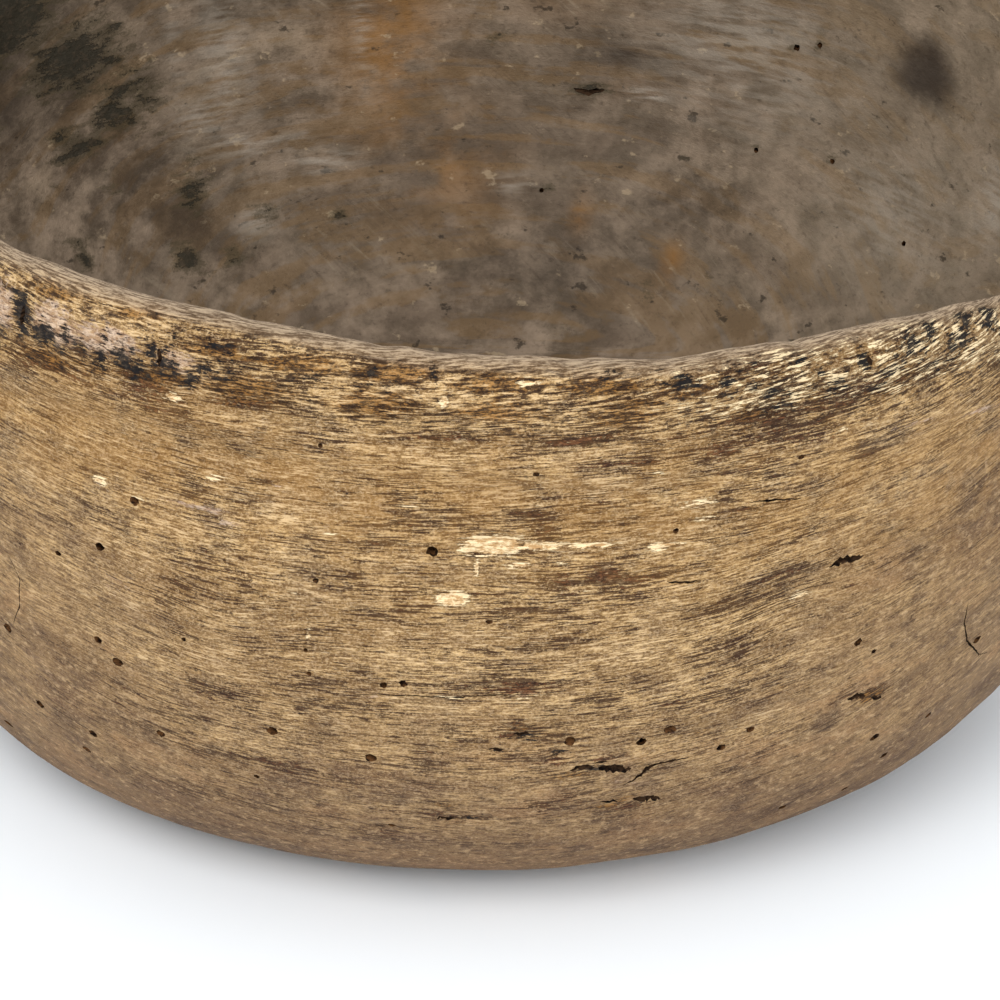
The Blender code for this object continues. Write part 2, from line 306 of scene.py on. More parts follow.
INNER_CHAR = (
    (-128, 112, 22, 13, 1), (-136, 98, 18, 11, 0.95), (-141, 84, 11, 9, 0.92), (-135, 78, 12, 6, 0.9),
    (-120, 98, 12, 12, 0.9), (-138, 66, 4.5, 3.4, 0.8), (-147, 61, 6, 6, 0.9), (-154.7, 52, 4.5, 2.6, 0.9),
    (-131, 55, 3, 4, 0.8), (-144, 47, 5, 4.4, 0.88), (168, 77, 5, 2.4, 0.85), (163, 78, 4, 1.6, 0.6),
    (147, 94, 2, 2, 0.8), (144, 96, 2, 2, 0.8), (149, 69, 2, 2, 0.6), (140, 71, 2, 2, 0.6),
    (172, 55, 3, 2.4, 0.6), (178, 88, 5, 2.4, 0.6), (-150, 46, 4, 3, 0.5), (150, 42, 3, 3, 0.5),
    (158, 36, 4, 2, 0.5), (-164, 50, 4, 1.6, 0.6), (60, 110, 8, 8, 0.8), (40, 124, 8, 4, 0.8),
    (-60, 120, 9, 5, 0.8), (-20, 116, 6, 6, 0.7), (10, 70, 6, 5, 0.6), (90, 60, 5, 4, 0.6),
    (-90, 70, 6, 4, 0.7), (110, 118, 8, 4, 0.7), (-100, 100, 9, 7, 0.8),
)
# Pale places in the hollow: mostly scrapes; the broad ones on the right side are painted light
INNER_SCUFFS_AND_LIGHT = (
    (-153, 86, 6, 20, 0.46), (-150, 76, 7, 5, 0.55), (-155, 68, 12, 1.8, 0.8), (-163, 62, 8, 2, 0.7),
    (-168, 92, 2.4, 14, 0.50), (-148, 96, 2.4, 16, 0.30), (162, 77, 5, 1.6, 1), (117, 78, 7, 9, 0.7),
    (152, 92, 24, 18, 0.42), (130, 66, 20, 12, 0.36), (-154, 51, 5, 3, 0.6), (176, 55, 5, 2, 0.5),
    (30, 60, 12, 14, 0.5), (-40, 90, 6, 18, 0.55), (80, 90, 9, 12, 0.5),
)
INNER_WARM = (
    (-171, 90, 13, 26, 1), (-176, 60, 14, 12, 0.7), (172, 104, 16, 9, 0.45), (168, 50, 2.4, 3.6, 1),
    (156, 43, 2.4, 4, 1), (164, 78, 5, 2.4, 0.7), (20, 80, 22, 20, 0.8), (-70, 60, 20, 16, 0.6),
    (100, 50, 20, 12, 0.6),
)
# Dark places in the hollow: the small ones are stains; the broad ones on the left side are painted shade
INNER_STAINS_AND_SHADE = (
    (130.5, 98, 10, 9, 0.9), (165, 86, 12, 6, 0.45), (-145, 55, 16, 10, 0.5), (-170, 50, 14, 5, 0.35),
    (155, 55, 20, 7, 0.4), (-160, 108, 24, 12, 0.42), (-128, 100, 34, 26, 0.55), (-140, 70, 26, 20, 0.4),
    (170, 40, 26, 8, 0.4), (0, 50, 20, 16, 0.5), (-110, 50, 20, 14, 0.5), (70, 80, 14, 12, 0.5),
)


def spots(points, places):
    """Sum of soft elliptic spots on the wall at these finished points."""
    azimuth = azimuth_of(points)
    radius = np.hypot(points[:, 0], points[:, 1])
    total = np.zeros(len(points))
    for centre, height, wide, tall, strength in places:
        across = np.radians(turned_from(centre, azimuth)) * radius / (wide * MM)
        up = (points[:, 2] - height * MM) / (tall * MM)
        total = np.maximum(total, strength * np.exp(-(across ** 2 + up ** 2)))
    return total


# Places where the fibres swing round a branch: azimuth in degrees, height and reach in mm, swing in metres
SWIRLS = (
    (-19, 80, 13, 0.0030), (-33, 66, 12, -0.0020), (25, 76, 12, -0.0024), (36, 98, 11, 0.0020),
    (2, 40, 16, 0.0014), (62, 80, 18, 0.0050), (118, 60, 20, -0.0050), (158, 90, 16, 0.0050),
    (-160, 66, 18, -0.0050), (-118, 84, 17, 0.0050), (-68, 62, 16, -0.0050),
)


def swirls(points):
    """How far the fibres swing up or down at these finished points."""
    azimuth = azimuth_of(points)
    radius = np.hypot(points[:, 0], points[:, 1])
    total = np.zeros(len(points))
    for centre, height, reach, swing in SWIRLS:
        across = np.radians(turned_from(centre, azimuth)) * radius
        up = points[:, 2] - height * MM
        total += swing * np.exp(-(across ** 2 + up ** 2) / (reach * MM) ** 2)
    return total


# Small knocks in the lip: azimuth in degrees, depth in mm, angular spread in degrees
LIP_NICKS = (
    (-6.5, 0.35, 0.8), (-2.5, 0.25, 1.2), (7.5, 0.25, 1), (14.5, 0.3, 1.2), (24.5, 0.7, 0.6),
    (26.2, 0.25, 0.8), (36, 0.4, 1.2), (-16, 0.25, 1.2), (-24, 0.3, 1.5), (-37, 0.4, 1.4), (49, 1, 1.2),
    (66, 1.6, 1.4), (88, 1, 1.8), (112, 1.8, 1.5), (133, 1, 1.2), (158, 1.5, 1.6), (-176, 1.2, 1.3),
    (-156, 0.9, 1.8), (-134, 1.6, 1.4), (-118, 0.8, 1.3), (-88, 1.4, 1.5), (-66, 1.2, 1.6), (-50, 0.8, 1.2),
)


def nicks(azimuth):
    """Depth of the knocks in the lip."""
    return sum(depth * MM * bell(azimuth, centre, spread) for centre, depth, spread in LIP_NICKS)


def worn(points, outside):
    """Finished surface: the CAD form plus the small relief of carving, decay and knocks."""
    moved = hand_shaped(points, outside)
    azimuth = azimuth_of(moved)
    below_lip = LIP_HEIGHT - points[:, 2]
    away = moved - CUTTING_CENTRE
    away /= np.linalg.norm(away, axis=1, keepdims=True)
    free = np.where(outside > 0.5, smooth(0.0, 0.006, points[:, 2]), 1.0)
    inside = 1.0 - outside
    char = spots(moved, CHAR_SPOTS) * outside + spots(moved, INNER_CHAR) * inside
    rough = relief(moved, 4.0 * MM, 11, 4, 0.6)
    push = 0.00022 * relief(moved, (30 * MM, 14 * MM, 7 * MM), 3) * outside
    push += 0.00045 * relief(moved, (26 * MM, 26 * MM, 15 * MM), 5) * inside
    band = smooth(0.024, 0.012, below_lip) * outside
    push += 0.00030 * relief(moved, (11 * MM, 8 * MM, 5 * MM), 7) * band
    push += (0.00050 * rough - 0.00070) * np.clip(char, 0.0, 1.0) * outside
    push += (0.00070 * rough - 0.00080) * np.clip(char, 0.0, 1.0) * inside
    groove = np.exp(-((below_lip - 0.026) / 0.005) ** 2) * bell(azimuth, -26.0, 9.0)
    ridge = np.exp(-((below_lip - 0.024) / 0.0016) ** 2) * bell(azimuth, 40.0, 5.0)
    push += (0.0006 * ridge - 0.0010 * groove) * outside
    moved += away * (push * free)[:, None]
    crest = smooth(0.012, 0.001, below_lip)
    ragged = 0.00022 * relief(moved, (9 * MM, 9 * MM, 30 * MM), 17, 3, 0.6)
    moved[:, 2] += (ragged - nicks(azimuth)) * crest
    return moved


def ring_mesh(fine):
    """The whole closed skin as one quad grid with a fan at each pole."""
    radii, heights, outside = wall_section(fine)
    azimuth = np.radians(columns(fine))
    rows, cols = len(radii), len(azimuth)
    grid = np.empty((rows, cols, 3))
    grid[:, :, 0] = radii[:, None] * np.sin(azimuth)
    grid[:, :, 1] = -radii[:, None] * np.cos(azimuth)
    grid[:, :, 2] = heights[:, None]
    share = np.repeat(outside, cols)
    poles = np.array(((0.0, 0.0, 0.0), (0.0, 0.0, FLOOR_START[1] - FLOOR_DISH)))
    points = worn(np.concatenate((grid.reshape(-1, 3), poles)), np.concatenate((share, (1.0, 0.0))))
    points[-2, 2] = 0.0
    row = np.arange(rows - 1)[:, None] * cols
    col = np.arange(cols)[None, :]
    after = (col + 1) % cols
    quads = np.stack((row + col, row + after, row + cols + after, row + cols + col), axis=-1).reshape(-1, 4)
    first, last = rows * cols, rows * cols + 1
    faces = quads.tolist()
    faces += [(first, right, left) for left, right in zip(range(cols), after[0].tolist())]
    top = (rows - 1) * cols
    faces += [(last, top + left, top + right) for left, right in zip(range(cols), after[0].tolist())]
    mesh = bpy.data.meshes.new("bowl_skin")
    mesh.from_pydata(points, [], faces)
    mesh.update()
    return mesh


# ---- cut features
def surface_at(azimuth, height, outside):
    """Finished surface points and outward-of-wood directions at azimuths in degrees and heights in metres."""
    azimuth = np.asarray(azimuth, float)
    height = np.asarray(height, float)
    plain = height.copy()
    for _ in range(4):
        plain = height - lip_lift(azimuth) * smooth(0.05, 1.0, plain / LIP_HEIGHT)
    plain = np.clip(plain, 0.002, SHOULDER + 0.003)
    curve = OUTER_CURVE if outside else INNER_CURVE

    def place(angle, level):
        radius = np.interp(level, curve[1], curve[0])
        turn = np.radians(angle)
        points = np.stack((radius * np.sin(turn), -radius * np.cos(turn), level), axis=1)
        return worn(points, np.full(len(points), float(outside)))

    here = place(azimuth, plain)
    side = place(azimuth + 0.8, plain) - place(azimuth - 0.8, plain)
    rise = place(azimuth, plain + 0.0012) - place(azimuth, plain - 0.0012)
    normal = np.cross(side, rise)
    normal /= np.linalg.norm(normal, axis=1, keepdims=True)
    return here, normal if outside else -normal


class Cutters:
    """One mesh of closed cutting bodies of one kind."""

    def __init__(self, name):
        self.name = name
        self.points = []
        self.faces = []

    def tube(self, rings):
        """Add a closed body from a list of rings of points, each ring the same length."""
        start = len(self.points)
        sides = len(rings[0])
        for ring in rings:
            self.points.extend(tuple(point) for point in ring)
        for level in range(len(rings) - 1):
            low = start + level * sides
            for side in range(sides):
                after = (side + 1) % sides
                self.faces.append((low + side, low + after, low + sides + after, low + sides + side))
        self.faces.append(tuple(range(start + sides - 1, start - 1, -1)))
        top = start + (len(rings) - 1) * sides
        self.faces.append(tuple(range(top, top + sides)))

    def build(self, material):
        """Cutting object, with its faces turned outwards."""
        mesh = bpy.data.meshes.new(self.name)
        mesh.from_pydata(self.points, [], self.faces)
        mesh.materials.append(material)
        work = bmesh.new()
        work.from_mesh(mesh)
        bmesh.ops.recalc_face_normals(work, faces=work.faces[:])
        work.to_mesh(mesh)
        work.free()
        body = bpy.data.objects.new(self.name, mesh)
        bpy.context.scene.collection.objects.link(body)
        return body


def side_vectors(normal):
    """Two directions along the surface: level with the ground and up the wall."""
    level = np.cross(np.array((0.0, 0.0, 1.0)), normal)
    level /= np.linalg.norm(level)
    return level, np.cross(normal, level)


def bore(cutters, rng, azimuth, height, width, depth, outside=True):
    """Insect exit hole: a slightly crooked, slightly ragged round tunnel."""
    here, normal = surface_at([azimuth], [height * MM], outside)
    here, normal = here[0], normal[0]
    level, up = side_vectors(normal)
    lean = rng.normal(0.0, 0.22, 2)
    sides = 14
    angle = np.linspace(0.0, 2.0 * math.pi, sides, endpoint=False) + rng.uniform(0.0, 1.0)
    stretch = 1.0 + rng.uniform(-0.12, 0.22)
    rings = []
    for share in (-0.35, 0.0, 0.12, 0.45, 0.8, 1.0):
        bend = lean * depth * MM * share * (1.0 + 0.5 * share)
        centre = here - normal * depth * MM * share + level * bend[0] + up * bend[1]
        flare = 1.0 + 0.16 * (share <= 0.0) - 0.30 * (share == 1.0)
        ragged = 1.0 + rng.normal(0.0, 0.11, sides)
        radius = 0.42 * width * MM * flare * ragged
        across = np.outer(radius * np.cos(angle) * stretch, level)
        rings.append(centre + across + np.outer(radius * np.sin(angle), up))
    cutters.tube(rings)


def groove(cutters, rng, path, width, depth, outside=True, ragged=0.14, wave=0.12):
    """Crack, gouge or torn chip along a path of (azimuth, height in mm), tapering to its ends."""
    path = np.array(path, float)
    lengths = np.hypot(np.radians(np.diff(path[:, 0])) * WALL_RADIUS_MM, np.diff(path[:, 1]))
    along = np.concatenate(([0.0], np.cumsum(lengths)))
    count = max(5, int(along[-1] / max(0.45, 0.25 * width)))
    even = np.linspace(0.0, along[-1], count)
    azimuth = np.interp(even, along, path[:, 0])
    height = np.interp(even, along, path[:, 1]) + rng.normal(0.0, wave, count)
    here, normal = surface_at(azimuth, height * MM, outside)
    share = np.linspace(0.0, 1.0, count)
    taper = np.clip(np.sin(math.pi * np.clip(share, 0.02, 0.98)), 0.05, 1.0) ** 0.55
    rings = []
    for index in range(count):
        ahead = here[min(index + 1, count - 1)] - here[max(index - 1, 0)]
        ahead /= np.linalg.norm(ahead)
        out = normal[index]
        cross = np.cross(out, ahead)
        cross /= np.linalg.norm(cross)
        jitter = 1.0 + rng.normal(0.0, ragged, 6)
        half = 0.5 * width * MM * taper[index]
        sink = depth * MM * taper[index]
        shape = (
            (1.15 * jitter[0], 0.6 * MM),
            (-1.15 * jitter[1], 0.6 * MM),
            (-0.95 * jitter[1], -0.15 * sink),
            (-0.45 * jitter[2], -0.85 * sink * abs(jitter[3])),
            (0.35 * jitter[4], -1.0 * sink * abs(jitter[3])),
            (0.95 * jitter[0], -0.25 * sink),
        )
        rings.append(np.array([here[index] + cross * half * wide + out * rise for wide, rise in shape]))
    cutters.tube(rings)


# Exit holes at the front: azimuth, height in mm, width in mm, depth in mm
FRONT_BORES = (
    (-2.8, 100, 2.2, 3), (-24.8, 103.8, 2, 3), (-15.8, 54, 2.4, 7), (-8, 50, 2.2, 7), (-6.6, 69, 1.5, 5),
    (-5.1, 69.5, 1.7, 5), (-28.2, 91.5, 2, 6), (-32.2, 87, 1.2, 4), (-39.8, 62, 2.3, 6),
    (-29.8, 68.5, 1.9, 6), (-28.4, 64, 2.2, 6), (-39, 43, 2.3, 7), (-26, 47, 2, 6), (-33.5, 40.5, 2, 4),
    (-35.5, 33.5, 2, 5), (-47.5, 27, 2, 5), (-12.2, 70.5, 1.1, 4), (7.6, 54, 2.4, 8), (13.4, 52, 2.3, 7),
    (15.6, 54.5, 2.2, 7), (22.6, 50.5, 1.7, 6), (20.3, 47, 1.9, 6), (31.1, 66.5, 1.9, 6), (33, 62.5, 1.3, 4),
    (36.2, 37, 1.9, 6), (43, 35.5, 1.6, 5), (39.3, 28, 1.6, 5), (29.6, 20.5, 1.8, 5), (37.4, 18.5, 1.9, 5),
    (23.7, 114.3, 1.3, 4), (14.6, 102.3, 1.1, 4), (4.5, 117, 1.2, 4), (1.3, 84, 1.1, 4), (-7, 28.5, 1.4, 5),
    (-11.2, 92.3, 1.1, 3), (-10.4, 121.8, 1, 3), (-12.3, 76, 1, 3), (-22, 74, 1, 3), (-18, 40, 1.2, 4),
    (46, 52, 1.8, 5), (-44, 80, 1.7, 5),
)
# Dark cracks and gouges at the front: path, width in mm, depth in mm
FRONT_CRACKS = (
    (((7.8, 45.9), (8.8, 46.3), (9.8, 45.9)), 1.3, 1.6), (((10.2, 45.3), (11.4, 45.2), (12.8, 44.4)), 2, 2.2),
    (((9.6, 47.5), (10.8, 47.7)), 0.8, 0.9),
    (((12.4, 39.8), (13.4, 41.6), (14.6, 44.2), (16, 45.3), (17.6, 45.6)), 0.75, 1.6),
    (((13.6, 34.6), (14.8, 34.4), (16, 33.6)), 1.7, 1.8), (((10.6, 35.6), (12.2, 35.2)), 0.9, 1),
    (((3.2, 56.2), (4.4, 56)), 1, 1), (((1.2, 52.6), (2.4, 52.2)), 0.9, 0.9),
    (((-3, 31.8), (-1.6, 31.5)), 1, 1.2),
    (((-9, 66.4), (-4.5, 66.7), (-1.5, 66), (2, 66.5), (6.2, 66.1)), 0.30, 0.8),
    (((27.2, 87.5), (28.6, 88), (30.2, 87.5)), 1.5, 1.4),
    (((20, 106.3), (22, 105.8), (24.1, 105)), 0.45, 0.8),
    (((31.6, 51.2), (32.6, 51.4), (33.4, 50.6)), 1.2, 1), (((34, 49.8), (35.2, 48.8)), 1.1, 0.9),
    (((42.5, 66), (42.9, 60), (44.5, 53.4), (47.4, 46.6), (49, 45.2)), 0.42, 0.9),
    (((-37.6, 82), (-36.7, 77), (-37.4, 70), (-39, 63.6)), 0.24, 0.4),
    (((14.2, 91), (15.6, 90.4), (16.8, 90.3)), 0.5, 0.7), (((-33, 139.5), (-33.2, 135.5)), 1.1, 1.2),
    (((-22, 137.4), (-22.1, 133.6)), 0.8, 1), (((28.7, 132.6), (28.9, 130.2)), 0.9, 1),
)
# Fresh pale chips at the front: path, width in mm, depth in mm
FRONT_CHIPS = (
    (((-0.4, 101), (1.6, 101.5), (3.4, 101.3), (5.4, 101), (7.6, 100.8), (9.6, 100.6)), 1.7, 0.30),
    (((12.6, 99.3), (14.2, 99.6), (15.4, 99.2)), 1, 0.25), (((0.6, 98), (0.4, 95.2)), 0.6, 0.2),
    (((-2.3, 89.2), (-1.3, 89.9), (-0.3, 89.8)), 1.7, 0.3), (((-2, 88.2), (-1, 88.4)), 0.9, 0.25),
    (((-1.9, 134), (-1.7, 131.4)), 0.9, 0.3), (((3.2, 135.6), (4.9, 135.7)), 0.8, 0.3),
    (((-21.9, 128.9), (-20.7, 127.7)), 1.2, 0.3), (((-28.9, 106.6), (-27.4, 106.2)), 1.1, 0.3),
    (((-19, 111.9), (-18.2, 111.4)), 0.7, 0.25), (((3.4, 96.4), (4.8, 97), (6.2, 96.2)), 0.8, 0.25),
    (((-12.6, 81.5), (-11.9, 79.4), (-12.4, 77)), 0.7, 0.25), (((-13.6, 89.2), (-12.6, 89.2)), 0.7, 0.25),
    (((17.2, 108.4), (18.2, 108.6)), 0.8, 0.25), (((24.5, 81), (26, 83.2)), 0.9, 0.25),
    (((29, 61.8), (30.4, 62.2)), 0.8, 0.25), (((36, 140), (39, 137)), 1, 0.3),
)
INNER_CRACKS = (
    (((170, 77), (168.4, 76.2), (166.8, 77)), 1.3, 1.2), (((-36, 66), (-33, 64), (-29, 65)), 1.4, 1.4),
    (((84, 52), (88, 50)), 1.4, 1.2),
)
INNER_BORES = (
    (146.6, 94, 1.8, 5), (144, 96, 1.5, 5), (149.2, 69, 1.3, 4), (140.1, 71, 1.2, 4), (172.8, 54, 1.3, 4),
    (128, 60, 1.2, 4),
)


def far_from(taken, azimuth, height, gap):
    """Whether a place is clear of every place already used, in mm along the wall."""
    return all(
        math.hypot(math.radians(turned_from(a, azimuth)) * WALL_RADIUS_MM, height - h) > gap for a, h in taken
    )


def cut_everything(skin, materials):
    """Bore, crack and chip the skin for real, and return the cut mesh."""
    rng = np.random.default_rng(SEED)
    holes, cracks, chips = Cutters("hole_cutters"), Cutters("crack_cutters"), Cutters("chip_cutters")
    taken = []
    for azimuth, height, width, depth in FRONT_BORES:
        bore(holes, rng, azimuth, height, width, depth)
        taken.append((azimuth, height))
    for path, width, depth in FRONT_CRACKS:
        groove(cracks, rng, path, width, depth, ragged=0.32, wave=0.16 * min(width, 1.0))
        taken.extend(path)
    for path, width, depth in FRONT_CHIPS:
        groove(chips, rng, path, width, depth, ragged=0.20, wave=0.12)
        taken.extend(path)
    inner_taken = []
    for azimuth, height, width, depth in INNER_BORES:
        bore(holes, rng, azimuth, height, width, depth, outside=False)
        inner_taken.append((azimuth, height))
    for path, width, depth in INNER_CRACKS:
        groove(cracks, rng, path, width, depth, outside=False)
        inner_taken.extend(path)
    placed = 0
    while placed < SCATTERED_BORES:
        azimuth, height = rng.uniform(*BORE_AZIMUTHS), rng.triangular(16.0, 40.0, 128.0)
        width, depth = rng.uniform(1.1, 2.4), rng.uniform(4.0, 7.0)
        if far_from(taken, azimuth, height, BORE_CLEARANCE):
            bore(holes, rng, azimuth, height, width, depth)
            taken.append((azimuth, height))
            placed += 1
    placed = 0
    while placed < SCATTERED_CRACKS:
        azimuth, height = rng.uniform(*CRACK_AZIMUTHS), rng.uniform(24.0, 126.0)
        reach, rise = rng.uniform(3.0, 9.0), rng.uniform(-2.5, 2.5)
        width, depth = rng.uniform(0.5, 2.4), rng.uniform(0.9, 2.6)
        is_chip = rng.uniform() < 0.4
        along = (0.0, 0.35, 0.7, 1.0)
        path = [(azimuth + reach * share, height + rise * math.sin(2.2 * share)) for share in along]
        if all(far_from(taken, a, h, CRACK_CLEARANCE) for a, h in path):
            if is_chip:
                groove(chips, rng, path, width, 0.3, ragged=0.34, wave=0.16)
            else:
                groove(cracks, rng, path, width, depth, ragged=0.32, wave=0.16 * min(width, 1.0))
            taken.extend(path)
            placed += 1
    placed = 0
    while placed < SCATTERED_INNER_BORES:
        azimuth, height = rng.uniform(*INNER_AZIMUTHS), rng.uniform(40.0, 122.0)
        if far_from(inner_taken, azimuth, height, INNER_CLEARANCE):
            bore(holes, rng, azimuth, height, rng.uniform(1.1, 1.9), 5.0, outside=False)
            inner_taken.append((azimuth, height))
            placed += 1
    body = bpy.data.objects.new("carved_bowl_wood", skin)
    bpy.context.scene.collection.objects.link(body)
    skin.materials.append(materials["wood"])
    for cutters, key in ((holes, "bore"), (cracks, "crevice"), (chips, "wood")):
        cutter = cutters.build(materials[key])
        cut = body.modifiers.new(cutters.name, "BOOLEAN")
        cut.operation = "DIFFERENCE"
        cut.solver = "MANIFOLD"
        cut.object = cutter
        cut.material_mode = "TRANSFER"
        bpy.context.view_layer.update()
        graph = bpy.context.evaluated_depsgraph_get()
        cut_mesh = bpy.data.meshes.new_from_object(body.evaluated_get(graph))
        body.modifiers.remove(cut)
        body.data = cut_mesh
        bpy.data.objects.remove(cutter, do_unlink=True)
    body.data.name = "carved_bowl_wood"
    return body


# ---- painted-on measures for the timber
def put(mesh, name, values):
    """Store one number or one vector per vertex."""
    kind, key = ("FLOAT", "value") if values.ndim == 1 else ("FLOAT_VECTOR", "vector")
    layer = mesh.attributes.new(name, kind, "POINT")
    layer.data.foreach_set(key, np.ascontiguousarray(values, dtype=np.float32).ravel())


def measure(mesh):
    """Give every vertex its grain directions, its share of each kind of wear, and its share of painted light
    and shade.
    """
    points = np.empty(len(mesh.vertices) * 3, dtype=np.float32)
    mesh.vertices.foreach_get("co", points)
    points = points.reshape(-1, 3).astype(float)
    x, y, z = points.T
    radius = np.hypot(x, y)
    azimuth = azimuth_of(points)
    plain = z.copy()
    for _ in range(4):
        plain = z - lip_lift(azimuth) * smooth(0.05, 1.0, plain / LIP_HEIGHT)
    outer_radius = np.interp(plain, OUTER_CURVE[1], OUTER_CURVE[0])
    inner_radius = np.interp(plain, INNER_CURVE[1], INNER_CURVE[0])
    middle = 0.5 * (outer_radius + inner_radius)
    inner = smooth(0.0025, -0.0025, radius - middle) * smooth(0.010, 0.013, plain)
    outside = 1.0 - inner

    # Side grain follows the wall and runs on over the lip; it dips on the sloping wall at the front and back
    sideways = np.arcsin(np.clip(x / np.maximum(radius, 1e-6), -1.0, 1.0))
    rise = 0.0058 * np.logaddexp(0.0, (np.abs(sideways) * LIP_RADIUS - 0.090) / 0.018)
    swirl = swirls(points) * outside
    slope = np.interp(plain, OUTER_CURVE[1], np.gradient(OUTER_CURVE[0], OUTER_CURVE[1] + 1e-7))
    dip = np.clip(slope, 0.0, 1.2) * (radius - np.abs(y))
    below = LIP_HEIGHT + lip_lift(azimuth) - z
    half = 0.5 * LIP_THICKNESS
    over = LIP_RADIUS - np.hypot(x, y / (1.0 - SHRINKAGE))
    turned = half * np.arctan2(plain - SHOULDER, half - over)
    down = np.where(inner > 0.5, half * math.pi + SHOULDER - plain, plain - SHOULDER)
    unrolled = z - plain + SHOULDER + np.where(plain > SHOULDER, turned, down)
    side_grain = np.stack((sideways * 0.145, 0.35 * y, unrolled - 0.8 * dip - rise + swirl), axis=1)
    flatness = np.where(inner > 0.5, smooth(0.100, 0.060, radius), smooth(0.122, 0.088, radius))
    flatness *= smooth(0.060, 0.015, z)
    endness = smooth(0.78, 0.97, np.abs(x) / np.maximum(radius, 1e-6)) * (1.0 - flatness)
    ring = np.hypot(np.abs(y) + 0.03, unrolled + 0.16) - 0.185
    spin = np.arctan2(y, unrolled + 0.16) * 0.16
    ends = np.stack((np.sign(x) * 0.2 + spin, 0.3 * y, ring), axis=1)
    plan = np.stack((x, 0.5 * y, 0.105 - np.abs(y)), axis=1)
    sideness = 1.0 - flatness - endness
    put(mesh, "grain", side_grain * sideness[:, None] + plan * flatness[:, None] + ends * endness[:, None])

    put(mesh, "inner", inner)
    put(mesh, "band", smooth(0.017, 0.010, below) * outside)
    put(mesh, "under_band", np.exp(-((below - 0.030) / 0.020) ** 2) * outside)
    crown = below - nicks(azimuth) - 0.0003 * relief(points, 14 * MM, 71, 2)
    put(mesh, "crest", smooth(0.0011, 0.0003, crown) * outside + smooth(0.0040, 0.0012, crown) * inner)
    # In the hollow the dark places also paint shade, and the pale places also paint light
    for name, wall_places, hollow_places in (
        ("char", CHAR_SPOTS, INNER_CHAR),
        ("stain_and_shade", STAIN_SPOTS, INNER_STAINS_AND_SHADE),
        ("scuff_and_light", SCUFF_SPOTS, INNER_SCUFFS_AND_LIGHT),
        ("warm", RUST_SPOTS, INNER_WARM),
    ):
        on_wall = spots(points, wall_places) * outside
        put(mesh, name, np.maximum(on_wall, spots(points, hollow_places) * inner))
    bleached = 0.40 * smooth(5.0, 20.0, azimuth) * smooth(64.0, 46.0, azimuth) * smooth(0.014, 0.008, below)
    put(mesh, "fresh", np.maximum(spots(points, FRESH_SPOTS), bleached) * outside)
    # Greyer, darker lower wall and flanks: partly the timber's own tone, partly painted shade low on the wall
    flank = 0.85 * smooth(18.0, 42.0, np.abs(azimuth)) * smooth(0.135, 0.080, z)
    low = smooth(0.085, 0.015, z) + flank
    # Painted light in the hollow: paler where light falls, most on its far right side and softly on the near
    # left
    lit = bell(azimuth, 124.0, 17.0) * smooth(0.020, 0.060, z)
    lit += 0.5 * bell(azimuth, -30.0, 50.0) * smooth(0.03, 0.1, z)
    put(mesh, "grey_shade_and_lit", np.clip(low, 0.0, 1.0) * outside + lit * inner)
    put(mesh, "calm", flank * outside)
    # Painted shade: the wall darkens towards the floor, where it turns under
    put(mesh, "foot", smooth(0.050, 0.008, z) * outside)


# ---- materials
def tone(red, green, blue):
    """Linear colour from 0-255 display values."""
    return tuple((value / 255.0) ** 2.2 for value in (red, green, blue)) + (1.0,)


